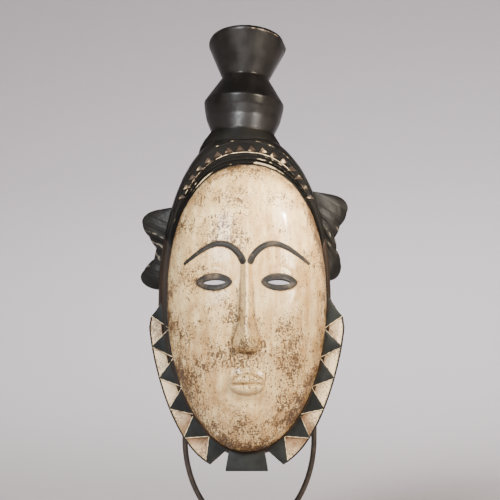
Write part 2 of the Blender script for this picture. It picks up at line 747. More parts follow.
def blurGrid(values, times):
    for _ in range(times):
        wide = np.pad(values, 1, mode="edge")
        values = (wide[:-2, 1:-1] + wide[2:, 1:-1] + wide[1:-1, :-2] + wide[1:-1, 2:] + 4 * values) / 8
    return values


def faceWear(x, z, share, relief):
    # speckle from the wear, and stain in the sunken places
    crease = np.clip((blurGrid(relief, 10) - blurGrid(relief, 1)) / 0.0007, 0, 1)
    stain = np.clip((blurGrid(relief, 6) - relief) / 0.00028 - 0.35, 0, 1)
    stain = np.maximum(blurGrid(stain, 2), lipDirt(x, z))
    amount = face["wear"]
    low = smoothStep(noseBase + 0.05, face["chin"] + 0.02, z)
    wear = amount["all"] + amount["low"] * low + amount["creases"] * crease
    wear = wear + amount["rim"] * smoothStep(0.86, 1.0, share)
    for spot in face["rubbed"]:
        wear = wear + swell(x, z, *spot)
    clean = swell(x, z, *above(mouthLine, face["cleanLips"]))
    return np.clip(wear * (1 - clean), 0, amount["most"]), stain


def eyeSlit(side, extra):
    # cutter through the wall, a little pointed at both ends
    width, height = features["eye"]["slit"]
    steps, front, back = 40, 0.13, head["depth"] * 0.6
    centre = side * features["eye"]["across"]
    loops = []
    for depth in (front, back):
        loop = []
        for k in range(steps):
            angle = 2 * math.pi * k / steps
            x = (width / 2 + extra) * math.cos(angle)
            z = (height / 2 + extra) * math.copysign(abs(math.sin(angle)) ** 1.35, math.sin(angle))
            loop.append((centre + x, -depth, eyeLine + z))
        loops.append(loop)
    return loftObject("eyeSlit", loops, [(centre, -front, eyeLine), (centre, -back, eyeLine)])


def darkenSlits(mesh):
    (width, height), edge = features["eye"]["slit"], features["eye"]["slitEdge"]
    places = vertexPlaces(mesh)
    away = (np.abs(np.abs(places[:, 0]) - features["eye"]["across"]) / (width / 2 + edge)) ** 2
    away = away + (np.abs(places[:, 2] - eyeLine) / (height / 2 + edge)) ** 2
    paint = np.zeros(len(places), dtype=np.float32)
    mesh.attributes["dark"].data.foreach_get("value", paint)
    setAttribute(mesh, "dark", np.where(away < 1, 1.0, paint))


def buildFace():
    columns, rows = face["columns"], face["rows"]
    u, v = np.meshgrid(np.linspace(-1, 1, columns + 1), np.linspace(-1, 1, rows + 1))
    discX, discZ = u * np.sqrt(1 - v ** 2 / 2), v * np.sqrt(1 - u ** 2 / 2)
    radius = np.clip(np.hypot(discX, discZ), 0, 1)
    angle = np.arctan2(discZ, discX)
    share = radius * (1 + face["rimDensity"] * (1 - radius ** 2))
    outX, outZ = faceOutline(angle)
    x, z = outX * share, middle + (outZ - middle) * share
    relief, paint = faceRelief(x, z)
    relief = blurGrid(relief, 2) * smoothStep(*face["softRim"], share)
    points = np.stack([x, -(faceDepth(x, z) + relief), z], axis=-1)
    points[..., 1] -= smoothNoise(points, *face["ripple"]) * (share < 0.97)
    wear, stain = faceWear(x, z, share, relief)
    scallop = face["scallopDepth"] * np.abs(np.sin(face["scallops"] * angle))
    rimPaint = smoothStep(0.974, 0.986, share - scallop) * smoothStep(0.5, 0.8, np.sin(angle))
    paint = np.maximum(paint, rimPaint)

    # the carved front, then rings back to a shallower dome behind it
    index = np.arange(points[..., 0].size).reshape(rows + 1, columns + 1)
    quads = np.stack([index[:-1, :-1], index[:-1, 1:], index[1:, 1:], index[1:, :-1]], axis=-1).reshape(-1, 4)
    border = np.concatenate([index[0, :-1], index[:-1, -1], index[-1, :0:-1], index[:0:-1, 0]])
    flat = points.reshape(-1, 3)
    rim = flat[border]
    loops = []
    for scale in face["backRings"]:
        backX, backZ = rim[:, 0] * scale, middle + (rim[:, 2] - middle) * scale
        loops.append(np.stack([backX, -(faceDepth(backX, backZ) - face["backing"]), backZ], axis=-1))
    tip = np.array([[0, -(faceDepth(np.array(0.0), np.array(middle)) - face["backing"]), middle]])
    allPoints = np.concatenate([flat, *loops, tip])
    count = len(border)
    faces = [tuple(q) for q in quads.tolist()]
    ring = border.tolist()
    for row in range(len(loops)):
        after = [len(flat) + row * count + k for k in range(count)]
        faces += [(ring[(k + 1) % count], ring[k], after[k], after[(k + 1) % count]) for k in range(count)]
        ring = after
    last = len(allPoints) - 1
    faces += [(ring[(k + 1) % count], ring[k], last) for k in range(count)]
    extra = len(allPoints) - len(flat)
    attributes = {
        label: np.append(values.ravel(), np.full(extra, behind))
        for label, values, behind in (("wear", wear, 0.9), ("dark", paint, 0.0), ("stain", stain, 0.0))
    }
    item = addObject("facePiece", makeMesh("facePiece", allPoints, faces, attributes))
    faceOutwards(item)
    cutAway(item, [eyeSlit(side, 0.0) for side in (-1, 1)], "MANIFOLD")
    darkenSlits(item.data)
    return item


settle(buildFace(), "mask", [cream], 50)
print("face made")


# Head: cap, headband, side walls, back rim and hollow

band = {
    "start": math.radians(22),
    # share of the way from the face to the back rim, radius, how much is rubbed
    "ridges": (
        (0.06, 0.0016, 0.50), (0.175, 0.0016, 0.48), (0.275, 0.0014, 0.42), (0.335, 0.0008, 0.95),
        (0.65, 0.0017, 0.62), (0.715, 0.0013, 0.45),
    ),
    "lowest": 0.1,  # ridges below this share are the ones rubbed bright
    "bright": ((0.019, 0.011), (-0.040, 0.006)),  # across, half width
    "brightness": 0.9,
    "sink": 0.25,
    "painted": (20, 160, 0.73),  # from and to these degrees, as far as this share
    "tooth": 0.011,
    "toothStart": math.radians(36),
    "toothFoot": 0.36,
    "toothTip": 0.55,
    "toothHeight": 0.0014,
    "toothTop": (0.34, 0.22, 0.9),  # middle of the small top, how far the sides lean in, its height
    "toothRoot": -1.6,
    "toothFill": 0.96,  # share of the pitch that a triangle fills
    "wobble": -0.10,
    "seed": 5,
}


def bandRidges(points, share, metric, taper):
    # how far the headband's ridges stand out at one share of the way back, and how worn they are
    proud, light = np.zeros(len(points)), np.zeros(len(points))
    bright = sum(np.exp(-((points[:, 0] - x) / half) ** 2) for x, half in band["bright"])
    for ridgeShare, radius, rub in band["ridges"]:
        size = radius * (0.25 + 0.75 * taper)
        away = metric * (share - ridgeShare)
        ridge = np.sqrt(np.maximum(size ** 2 - away ** 2, 0)) - size * band["sink"]
        ridge = np.where(taper > 0, np.maximum(ridge, 0), 0) * (share < 0.9)
        proud = np.maximum(proud, ridge)
        top = np.clip(ridge / (size * (1 - band["sink"])), 0, 1) ** 2 * (taper > 0)
        light = np.maximum(light, top * (rub + (ridgeShare < band["lowest"]) * band["brightness"] * bright))
    return proud, light


def headPaint(angles, zones):
    # which of the head's paints each face gets: band, side wall, hollow or gloss
    first, last, bandEnd = band["painted"]
    middles = (zones[:-1] + zones[1:]) / 2
    onBand = (angles > first) & (angles < last)
    paint = np.where(onBand, np.where(middles < bandEnd, 0, 3), 1)
    paint = np.where(middles > 1.2, 2, paint).ravel().tolist()
    return paint + [0] * len(angles) + [2] * len(angles)


def buildHead():
    dense = np.linspace(math.radians(18), math.radians(162), 560, endpoint=False)
    sparse = np.linspace(math.radians(162), math.radians(378), 190, endpoint=False)
    angle = np.concatenate([dense, sparse])
    count = len(angle)
    loops, worn, zone = [], [], []

    def ring(points, wornHere, zoneHere):
        loops.append(points)
        worn.append(np.full(count, wornHere))
        zone.append(np.full(count, zoneHere))

    for share in head["frontRows"]:
        x, z = faceOutline(angle)
        x, z = x * share, middle + (z - middle) * share
        ring(np.stack([x, -(faceDepth(x, z) - head["sunk"]), z], axis=-1), 0.0, 0.0)
    along = np.clip((angle - band["start"]) / (math.pi - 2 * band["start"]), 0, 1)
    taper = np.where((along > 0) & (along < 1), np.sqrt(np.sin(math.pi * along)), 0)
    for share in np.concatenate([np.linspace(0.0, 0.78, 70), np.linspace(0.80, 1.0, 26) ** 0.8]):
        share = float(min(share, 1.0))
        points = capPoint(angle, np.full(count, share))
        beyond = capPoint(angle, np.full(count, min(share + 0.01, 1.0)))
        metric = np.linalg.norm(beyond - points, axis=-1) / 0.01
        normal = capNormal(angle, np.full(count, min(share, 0.985)))
        proud, light = bandRidges(points, share, metric, taper)
        ripple = smoothNoise(points, *head["ripple"]) * (share < 0.95)
        ring(points + normal * (proud + ripple)[:, None], light * taper, share)
    for depth in head["hollowRows"]:
        share = hollowShare(depth * head["hollowDepth"])
        x, z = hollowOutline(angle)
        x, z = x * share, middle + (z - middle) * share
        points = np.stack([x, np.full(count, -depth * head["hollowDepth"]), z], axis=-1)
        if depth > 0:
            points[:, 1] += smoothNoise(points, *head["gouging"])
        ring(points, 0.0, 2.0)
    front = -(faceDepth(np.array(0.0), np.array(middle)) - head["sunk"])
    tips = (np.array([0, front, middle]), np.array([0, -head["hollowDepth"], middle]))
    item = loftObject("headPiece", loops, tips, {"worn": worn, "zone": zone})
    item.data.polygons.foreach_set("material_index", headPaint(np.degrees(angle), np.array(zone)))
    for material in headPaints:
        item.data.materials.append(material)
    cutAway(item, [eyeSlit(side, 0.0005) for side in (-1, 1)], "MANIFOLD")
    return item


headPaints = (bandPaint, sideWood, hollowWood, gloss)
settle(buildHead(), "mask", headPaints, 40)
print("head made")


# Row of small triangles on the headband, set out with Geometry Nodes


def toothFrames():
    # where each triangle stands: middle of its foot, direction up the band and outwards
    share = (band["toothFoot"] + band["toothTip"]) / 2
    angle = np.linspace(band["toothStart"], math.pi - band["toothStart"], 2400)
    path = capPoint(angle, np.full(len(angle), share))
    length = np.concatenate([[0], np.cumsum(np.linalg.norm(np.diff(path, axis=0), axis=1))])
    count = int(length[-1] / band["tooth"])
    edge = (length[-1] - count * band["tooth"]) / 2
    frames = []
    for i in range(count):
        at = np.interp(edge + band["tooth"] * (i + 0.5), length, angle)
        near = np.array([at])
        foot = capPoint(near, np.array([band["toothFoot"]]))[0]
        tip = capPoint(near, np.array([band["toothTip"]]))[0]
        normal = capNormal(near, np.array([share]))[0]
        frames.append((foot, tip - foot, normal))
    return frames


def toothMesh():
    # a low faceted triangle, one unit wide and one tall, its point upwards along Y
    half = band["toothFill"] / 2
    corners = [(-half, 0.0), (half, 0.0), (0.0, 1.0)]
    centre, lean, rise = band["toothTop"]
    work = bmesh.new()
    root = [work.verts.new((x, y, band["toothRoot"])) for x, y in corners]
    ground = [work.verts.new((x, y, 0.0)) for x, y in corners]
    top = [work.verts.new((x - x * lean, y + (centre - y) * lean, rise)) for x, y in corners]
    for low, high in ((root, ground), (ground, top)):
        for k in range(3):
            j = (k + 1) % 3
            work.faces.new((low[k], low[j], high[j], high[k]))
    work.faces.new(list(reversed(root)))
    work.faces.new(top)
    bmesh.ops.recalc_face_normals(work, faces=work.faces[:])
    bmesh.ops.bevel(work, geom=work.edges[:], offset=0.05, segments=2, affect="EDGES", clamp_overlap=True)
    mesh = bpy.data.meshes.new("tooth")
    work.to_mesh(mesh)
    work.free()
    setAttribute(mesh, "worn", np.clip(vertexPlaces(mesh)[:, 2], 0, 1))
    return mesh


def rowNodes(tooth, material):
    tree = bpy.data.node_groups.new("toothRow", "GeometryNodeTree")
    tree.interface.new_socket("Geometry", in_out="INPUT", socket_type="NodeSocketGeometry")
    wobble = tree.interface.new_socket("Wobble", in_out="INPUT", socket_type="NodeSocketFloat")
    seed = tree.interface.new_socket("Seed", in_out="INPUT", socket_type="NodeSocketInt")
    tree.interface.new_socket("Geometry", in_out="OUTPUT", socket_type="NodeSocketGeometry")
    source, sink = tree.nodes.new("NodeGroupInput"), tree.nodes.new("NodeGroupOutput")

    def named(kind, name):
        node = tree.nodes.new("GeometryNodeInputNamedAttribute")
        node.data_type = kind
        node.inputs["Name"].default_value = name
        return node.outputs["Attribute"]

    info = tree.nodes.new("GeometryNodeObjectInfo")
    info.inputs["Object"].default_value = tooth
    outwards = tree.nodes.new("FunctionNodeAlignRotationToVector")
    outwards.axis = "Z"
    tree.links.new(named("FLOAT_VECTOR", "outward"), outwards.inputs["Vector"])
    upwards = tree.nodes.new("FunctionNodeAlignRotationToVector")
    upwards.axis = "Y"
    upwards.pivot_axis = "Z"
    tree.links.new(outwards.outputs["Rotation"], upwards.inputs["Rotation"])
    tree.links.new(named("FLOAT_VECTOR", "upward"), upwards.inputs["Vector"])
    chance = tree.nodes.new("FunctionNodeRandomValue")
    chance.data_type = "FLOAT"
    tree.links.new(source.outputs["Seed"], chance.inputs["Seed"])
    spread = tree.nodes.new("ShaderNodeMath")
    spread.operation = "MULTIPLY_ADD"
    tree.links.new(chance.outputs[1], spread.inputs[0])
    tree.links.new(source.outputs["Wobble"], spread.inputs[1])
    spread.inputs[2].default_value = 1.0
    scale = tree.nodes.new("ShaderNodeVectorMath")
    scale.operation = "SCALE"
    tree.links.new(named("FLOAT_VECTOR", "size"), scale.inputs[0])
    tree.links.new(spread.outputs[0], scale.inputs["Scale"])
    spots = tree.nodes.new("GeometryNodeInstanceOnPoints")
    tree.links.new(source.outputs["Geometry"], spots.inputs["Points"])
    tree.links.new(info.outputs["Geometry"], spots.inputs["Instance"])
    tree.links.new(upwards.outputs["Rotation"], spots.inputs["Rotation"])
    tree.links.new(scale.outputs[0], spots.inputs["Scale"])
    real = tree.nodes.new("GeometryNodeRealizeInstances")
    paint = tree.nodes.new("GeometryNodeSetMaterial")
    paint.inputs["Material"].default_value = material
    tree.links.new(spots.outputs[0], real.inputs[0])
    tree.links.new(real.outputs[0], paint.inputs["Geometry"])
    tree.links.new(paint.outputs[0], sink.inputs[0])
    return tree, wobble.identifier, seed.identifier


def buildTeeth():
    tooth = addObject("tooth", toothMesh())
    frames = toothFrames()
    mesh = bpy.data.meshes.new("toothPoints")
    mesh.from_pydata([tuple(foot) for foot, up, normal in frames], [], [])
    vectors = {
        "upward": [up for foot, up, normal in frames],
        "outward": [normal for foot, up, normal in frames],
        "size": [(band["tooth"], np.linalg.norm(up), band["toothHeight"]) for foot, up, normal in frames],
    }
    for label, values in vectors.items():
        layer = mesh.attributes.new(label, "FLOAT_VECTOR", "POINT")
        layer.data.foreach_set("vector", np.asarray(values, dtype=np.float32).ravel())
    item = addObject("bandTeeth", mesh)
    tree, wobble, seed = rowNodes(tooth, toothPaint)
    step = item.modifiers.new("row", "NODES")
    step.node_group = tree
    step[wobble] = band["wobble"]
    step[seed] = band["seed"]
    applyModifiers(item)
    bpy.data.objects.remove(tooth, do_unlink=True)
    faceOutwards(item)
    return item


settle(buildTeeth(), "mask", [toothPaint], 30)
print("band teeth made")


# Crest

crest = {
    # height above the cap's top, half width, half depth
    "profile": (
        (-0.034, 0.0440, 0.0190), (-0.018, 0.0410, 0.0235), (-0.0105, 0.0375, 0.0258),
        (-0.001, 0.0310, 0.0252), (0.0105, 0.0359, 0.0335), (0.0200, 0.0382, 0.0376),
        (0.0287, 0.0394, 0.0394), (0.0545, 0.0232, 0.0232), (0.088, 0.0384, 0.0384),
        (0.091, 0.0378, 0.0378), (0.0927, 0.0346, 0.0346),
    ),
    "crisp": (3, 6, 7, 8),  # rows of the profile with a crisp edge
    "neck": 7,
    "rim": 8,
    "footTop": -0.002,
    "dome": 0.004,
    "place": (-0.0042, -0.0325),
    "sideLean": math.radians(3),
    "lean": math.radians(5),
    "topSlope": math.radians(11),
    "sides": 200,
    "ringGap": 0.0011,
    "edgeWidth": 0.0007,
    "dents": ((0.013, 21, 0.00008), (0.045, 22, 0.00018)),  # size, seed, depth
    "chips": (0.010, 25, 0.45, 0.0012),  # size, seed, how rare, depth
    "flatSide": (math.radians(345), 0.25, 0.0011),  # middle, half width and depth on the rim
    "inset": 0.0003,
    "wornSide": (300, 38),  # degrees
    "wear": (0.40, 0.48),  # everywhere, and on the worn side
    "wearBelow": 0.45,  # on the edges below the rim
}


def crestRows():
    # the profile in fine rows with its corners just taken off, and how near each is to a crisp edge
    profile = np.array(crest["profile"])
    rows, edges = [], []
    for i in range(len(profile) - 1):
        low, high = profile[i], profile[i + 1]
        length = np.linalg.norm((high - low)[:2])
        steps = max(int(length / crest["ringGap"]), 3)
        for k in range(steps):
            t = k / steps
            rows.append(low + (high - low) * t)
            below = t if i in crest["crisp"] else 1.0
            above = 1 - t if i + 1 in crest["crisp"] else 1.0
            away = min(below, above) * length
            edges.append(math.exp(-(away / crest["edgeWidth"]) ** 2))
    rows = np.array([*rows, profile[-1]])
    rounded = rows.copy()
    rounded[1:-1] = (rows[:-2] + 2 * rows[1:-1] + rows[2:]) / 4
    return rounded, [*edges, 0.0]


def buildCrest():
    rows, edges = crestRows()
    neckHeight, rimHeight = (crest["profile"][crest[name]][0] for name in ("neck", "rim"))
    lean = np.array(Matrix.Rotation(crest["sideLean"], 3, "Y") @ Matrix.Rotation(-crest["lean"], 3, "X"))
    slope = np.array(Matrix.Rotation(-crest["topSlope"], 3, "X"))
    base = np.array([*crest["place"], capTop])
    angle = np.linspace(0, 2 * math.pi, crest["sides"], endpoint=False)
    cosine, sine, nought = np.cos(angle), np.sin(angle), np.zeros_like(angle)
    outward = np.stack([cosine, sine, nought], axis=-1) @ lean.T
    chipSize, chipSeed, rare, chipDepth = crest["chips"]
    flatMiddle, flatWidth, flatDepth = crest["flatSide"]
    wornMiddle, wornWidth = crest["wornSide"]
    facing = np.exp(-((np.degrees(angle) - wornMiddle) / wornWidth) ** 2)
    flattened = np.exp(-((angle - flatMiddle) / flatWidth) ** 2) * flatDepth
    loops, worn = [], []
    for (height, halfWidth, halfDepth), edge in zip(rows, edges):
        onRim = height > rimHeight - 0.004
        flat = np.stack([halfWidth * cosine, halfDepth * sine, nought], axis=-1)
        share = np.clip((height - neckHeight) / (rimHeight - neckHeight), 0, 1)
        flat = flat + (flat @ slope.T - flat) * share
        points = base + (flat + np.array([0, 0, height])) @ lean.T
        dents = sum(smoothNoise(points, *dent) for dent in crest["dents"])
        chips = np.maximum(smoothNoise(points, chipSize, chipSeed) - rare, 0) * chipDepth * edge
        points = points + outward * (dents - chips - flattened * onRim - crest["inset"])[:, None]
        loops.append(points)
        wear = crest["wear"][0] + crest["wear"][1] * facing
        worn.append(edge * (1.0 if onRim else crest["wearBelow"]) * wear)
    last = loops[-1]
    for share in (0.75, 0.5, 0.25):
        lift = (1 - share ** 2) * crest["dome"]
        ring = last * share + last.mean(axis=0) * (1 - share) + lean @ np.array([0, 0, lift])
        ring[:, 2] += smoothNoise(ring, 0.012, 30, 0.0002)
        loops.append(ring)
        worn.append(nought)
    bottom = base + lean @ np.array([0, 0, crest["profile"][0][0]])
    top = last.mean(axis=0) + lean @ np.array([0, 0, crest["dome"]])
    item = loftObject("crestPiece", loops, (bottom, top), {"worn": worn})
    footFaces = sum(row[0] < crest["footTop"] for row in rows) * crest["sides"]
    paints = [int(k < footFaces) for k in range(len(item.data.polygons))]
    item.data.polygons.foreach_set("material_index", paints)
    for material in (gloss, bandPaint):
        item.data.materials.append(material)
    return item


settle(buildCrest(), "mask", [gloss, bandPaint], 28)
print("crest made")


# Side tufts

tufts = {
    "left": {
        "side": -1, "bottom": 0.173, "top": 0.252, "lift": 0.010,
        "lower": 0.1028, "middle": 0.086, "upper": 0.1017,  # how far out each hump and the waist reach
    },
    "right": {
        "side": 1, "bottom": 0.182, "top": 0.267, "lift": 0.004,
        "lower": 0.091, "middle": 0.084, "upper": 0.098,
    },
    "lowerHump": (0.12, 0.36),  # share of the height, half length
    "upperHump": (0.86, 0.42),
    "ridged": (0.50, 0.46),
    "front": 0.047,
    "back": 0.020,
    "edge": 0.006,
    "ridges": 7,
    "ridgeHeight": 0.0028,
    "strands": 21,
    "strandHeight": 0.0006,
    "scallop": 0.0016,
    "slant": 1.6,
    "root": 0.6,
    "ripple": (0.006, 40, 0.0002),
    "levels": 120,
    "columns": 36,
    "backColumns": 8,
}


def humpShape(share, centre, halfWidth):
    away = np.minimum(np.abs(share - centre) / halfWidth, 1.0)
    return np.cos(away * math.pi / 2) ** 2


def wallHalfWidth(z):
    power = face["upperPower"] if z > middle else face["lowerPower"]
    height = capTop - middle if z > middle else middle - face["chin"] + head["chinWall"]
    rest = 1 - min(abs(z - middle) / height, 1.0) ** power
    return (face["halfWidth"] + head["reveal"]) * rest ** (1 / power)


def buildTuft(sizes):
    side, levels = sizes["side"], tufts["levels"]
    sunk = head["sideWall"] * tufts["root"]
    root = face["halfWidth"] + head["reveal"] - sunk
    centre = (tufts["front"] + tufts["back"]) / 2
    thickest = (tufts["front"] - tufts["back"] - tufts["edge"]) / 2
    loops, worn = [], []
    for i in range(levels):
        share = i / (levels - 1)
        ridged = humpShape(share, *tufts["ridged"])
        edgeWave = abs(math.sin(math.pi * (share * tufts["ridges"] + side * tufts["slant"])))
        reach = sizes["middle"] + tufts["scallop"] * ridged * edgeWave
        reach += (sizes["upper"] - sizes["middle"]) * humpShape(share, *tufts["upperHump"])
        reach += (sizes["lower"] - sizes["middle"]) * humpShape(share, *tufts["lowerHump"])
        rounding = max(1 - abs(2 * share - 1) ** 7, 0.02) ** 0.3
        z = sizes["bottom"] + (sizes["top"] - sizes["bottom"]) * share
        inner = min(root, wallHalfWidth(z) - sunk)
        outer = max(inner + (reach - inner) * rounding, inner + head["sideWall"] * 0.5)
        lift = sizes["lift"] * (1 - share) ** 2

        across = np.linspace(0, 1, tufts["columns"])
        slant = side * across * tufts["slant"]
        wave = np.abs(np.sin(math.pi * (share * tufts["ridges"] + slant)))
        strand = np.abs(np.sin(math.pi * (share * tufts["strands"] + slant * 3))) ** 0.6
        strand = strand * tufts["strandHeight"]
        ridge = ridged * wave ** 0.75 * tufts["ridgeHeight"] + (0.25 + 0.75 * ridged) * strand
        half = tufts["edge"] / 2 + thickest * (1 - across ** 2)
        x = inner + (outer - inner) * across
        front = np.stack([side * x, -(centre + half + ridge), z + lift * (1 - across)], axis=-1)
        front[:, 1] += smoothNoise(front, *tufts["ripple"])

        across = np.linspace(1, 0, tufts["backColumns"])
        half = tufts["edge"] / 2 + thickest * (1 - across ** 2)
        x = inner + (outer - inner) * across
        back = np.stack([side * x, -(centre - half), z + lift * (1 - across)], axis=-1)
        loops.append(np.concatenate([front, back]))
        worn.append(np.concatenate([np.clip((wave - 0.8) / 0.2, 0, 1) * ridged, np.zeros(len(across))]))
    tips = [np.mean(loops[0], axis=0), np.mean(loops[-1], axis=0)]
    return loftObject("tuft" + ("Left" if side < 0 else "Right"), loops, tips, {"worn": worn})


for key in ("left", "right"):
    settle(buildTuft(tufts[key]), "mask", [tuftPaint], 60)
print("tufts made")


# Collar with its sunken triangles, and the chin tab

collar = {
    "halfWidth": 0.092,
    "widest": 0.135,
    "shoulder": ((0.84, 0.160), (0.925, 0.151), (0.985, 0.1445)),  # share of the half width, height
    "powers": (1.3, 0.36),
    "bottom": 0.0065,
    "thickness": 0.009,
    "slope": 0.003,
    "steps": 64,
    "teeth": 5,
    "toothTop": 0.147,
    "toothBottom": 0.009,
    "toothDepth": 0.018,
    "toothGap": 0.015,  # share of the pitch left at either end
    "overcut": 1.22,  # how far a cut runs out past the edge, from its tip
    "cutEdge": 0.0010,
    "cutTip": 0.0032,
    "root": 0.93,
    "rootAngles": (math.radians(4), math.radians(-81)),
    "rootThick": 0.0003,
    "tabWidth": 0.040,
    "tabHeight": 0.012,
    "tabRoot": 0.012,
    "tabBack": 0.001,
    "bevel": 0.00035,
    "tabBevel": 0.0006,
    "rimWidth": 0.0012,  # black paint this far in from the outer edge
    "edgeLine": 0.00050,
    "outerLine": 0.00075,
    "lineSteps": 12,
    "brownDepth": 0.017,
}


def collarEdge(z):
    share = max((collar["widest"] - z) / collar["widest"], 0.0)
    return collar["halfWidth"] * (1 - share ** collar["powers"][0]) ** collar["powers"][1]


def collarPath():
    path = [(collar["halfWidth"] * share, height) for share, height in collar["shoulder"]]
    steps = collar["steps"]
    for i in range(steps + 1):
        z = collar["bottom"] + (collar["widest"] - collar["bottom"]) * (1 - math.sin(math.pi / 2 * i / steps))
        path.append((collarEdge(z), z))
    return path


def collarHalf(side):
    front, back = head["depth"], head["depth"] - collar["thickness"]
    path = collarPath()
    first, last = collar["rootAngles"]
    loops = []
    for i, (x, z) in enumerate(path):
        share = i / (len(path) - 1)
        rootX, rootZ = headOutline(np.array(first + (last - first) * share))
        innerX, innerZ = float(rootX) * collar["root"], middle + (float(rootZ) - middle) * collar["root"]
        loops.append([
            (side * innerX, -front - collar["rootThick"], innerZ),
            (side * x, -front + collar["slope"], z),
            (side * x, -back, z),
            (side * innerX, -back + collar["rootThick"], innerZ),
        ])
    count = len(loops)
    faces = loftFaces(count, 4) + [(3, 2, 1, 0), tuple((count - 1) * 4 + k for k in range(4))]
    item = addObject("collarHalf", makeMesh("collarHalf", loops, faces))
    item.data.materials.append(slate)
    faceOutwards(item)
    return item


def cutCorners():
    # both outer corners and the tip of each sunken triangle, for the right side
    heights = np.linspace(collar["toothTop"], collar["toothBottom"], 241)
    edge = np.array([(collarEdge(z), 0.0, z) for z in heights])
    length = np.concatenate([[0], np.cumsum(np.linalg.norm(np.diff(edge, axis=0), axis=1))])
    pitch = length[-1] / collar["teeth"]
    triangles = []
    for i in range(collar["teeth"]):
        at = [pitch * (i + shift) for shift in (collar["toothGap"], 1 - collar["toothGap"])]
        upper, lower = (np.array([np.interp(far, length, edge[:, k]) for k in range(3)]) for far in at)
        along = (lower - upper) / np.linalg.norm(lower - upper)
        inward = np.array([along[2], 0, -along[0]])
        inward = inward if inward[0] < 0 else -inward
        triangles.append((upper, lower, (upper + lower) / 2 + inward * collar["toothDepth"]))
    return triangles


def collarCuts(side):
    cutters = []
    edgeFloor = head["depth"] - collar["slope"] - collar["cutEdge"]
    floors = (edgeFloor, edgeFloor, head["depth"] - collar["cutTip"])
    for upper, lower, tip in cutCorners():
        corners = [tip + (upper - tip) * collar["overcut"], tip + (lower - tip) * collar["overcut"], tip]
        deep = [(side * c[0], -floor, c[2]) for c, floor in zip(corners, floors)]
        proud = [(side * c[0], -head["depth"] - 0.01, c[2]) for c in corners]
        faces = [(2, 1, 0), (3, 4, 5), (0, 1, 4, 3), (1, 2, 5, 4), (2, 0, 3, 5)]
        cutter = addObject("collarCut", makeMesh("collarCut", deep + proud, faces))
        cutter.data.materials.append(facet)
        faceOutwards(cutter)
        cutters.append(cutter)
    return cutters


def paintCollar(item):
    # how near a point of a sunken triangle is to the head, for its browned tip, and the black outer edge
    places = vertexPlaces(item.data)
    lowest, highest = 0.007, collar["widest"]
    edge = np.array([collarEdge(min(max(z, lowest), highest)) for z in places[:, 2]])
    gap = np.maximum(edge - np.abs(places[:, 0]), 0)
    low = smoothStep(0.05, 0.012, places[:, 2])
    depth = gap * (1 - low) + np.maximum(places[:, 2] - 0.006, 0) * low * 1.2
    setAttribute(item.data, "tip", np.clip(depth / collar["brownDepth"], 0, 1))
    setAttribute(item.data, "worn", np.ones(len(places)))
    reach = np.array([collarEdge(min(z, highest)) for z in places[:, 2]]) - np.abs(places[:, 0])
    for polygon in item.data.polygons:
        onEdge = all(reach[k] < collar["rimWidth"] for k in polygon.vertices)
        if onEdge or abs(polygon.normal.y) < 0.5 and gap[polygon.vertices[0]] < collar["rimWidth"]:
            polygon.material_index = 3


def collarLines(side, half):
    # a thin worn line along the edge of each triangle and a dark one along the outside
    half.data.update()
    places, faces = [v.co for v in half.data.vertices], [list(p.vertices) for p in half.data.polygons]
    tree = BVHTree.FromPolygons(places, faces)

    def onFront(x, z):
        hit = tree.ray_cast(Vector((x, -0.2, z)), Vector((0, 1, 0)))[0]
        return (x, (hit.y if hit else -head["depth"] + collar["slope"]) + 0.0001, z)

    steps = collar["lineSteps"]
    for number, (upper, lower, tip) in enumerate(cutCorners()):
        route = []
        for a, b in ((upper, tip), (tip, lower)):
            for k in range(steps):
                p = a + (b - a) * (0.04 + 0.92 * k / (steps - 1))
                route.append(onFront(side * p[0], p[2]))
        uneven = [0.75 + 0.35 * math.sin(k * 1.9 + number * 2.3) for k in range(len(route))]
        line = tubeObject("edgeLine", route, [collar["edgeLine"] * u for u in uneven], 8)
        setAttribute(line.data, "worn", np.ones(len(line.data.vertices)))
        settle(line, "mask", [wornRim], 60)
    depth = -head["depth"] + collar["slope"] + 0.0002
    route = [(side * (x - 0.0004), depth, z) for x, z in collarPath()[1:-2]]
    line = tubeObject("outerLine", route, collar["outerLine"], 8)
    setAttribute(line.data, "worn", np.ones(len(line.data.vertices)))
    settle(line, "mask", [edgeBlack], 60)


for side in (-1, 1):
    half = collarHalf(side)
    collarLines(side, half)
    cutAway(half, collarCuts(side), "EXACT")
    softenEdges(half, collar["bevel"], 2)
    paintCollar(half)
    settle(half, "mask", [slate, facet, wornRim, edgeBlack], 30)
print("collar made")


def buildTab():
    front = head["depth"] - collar["tabBack"]
    back = front - collar["thickness"]
    height = collar["tabHeight"]
    points = []
    rows = ((0.0, 1.0), (height * 0.35, 0.97), (height, 0.9), (height + collar["tabRoot"], 0.8))
    for z, share in rows:
        half = collar["tabWidth"] / 2 * share
        points += [(-half, -front, z), (half, -front, z), (half, -back, z), (-half, -back, z)]
    last = (len(rows) - 1) * 4
    faces = loftFaces(len(rows), 4) + [(3, 2, 1, 0), (last, last + 1, last + 2, last + 3)]
    item = addObject("chinTab", makeMesh("chinTab", points, faces))
    faceOutwards(item)
    softenEdges(item, collar["tabBevel"], 1, 40)
    return item


settle(buildTab(), "mask", [slate, wornRim], 30)
print("chin tab made")


# Stand

stand = {
    "radius": 0.0027,
    "span": 0.063113,
    "back": 0.022,
    "curveStart": 0.13665,
    "drop": 0.090,
    "tip": 0.29975,
    "tipRounding": ((0.0, 0.62), (0.0004, 0.88)),  # below the tip, share of the radius
    "bottom": 0.0043,
    "socketGap": 0.0003,
    "footSize": 0.130,
    "footThickness": 0.010,
    "footCorner": 0.004,
    "bevel": 0.0012,
}


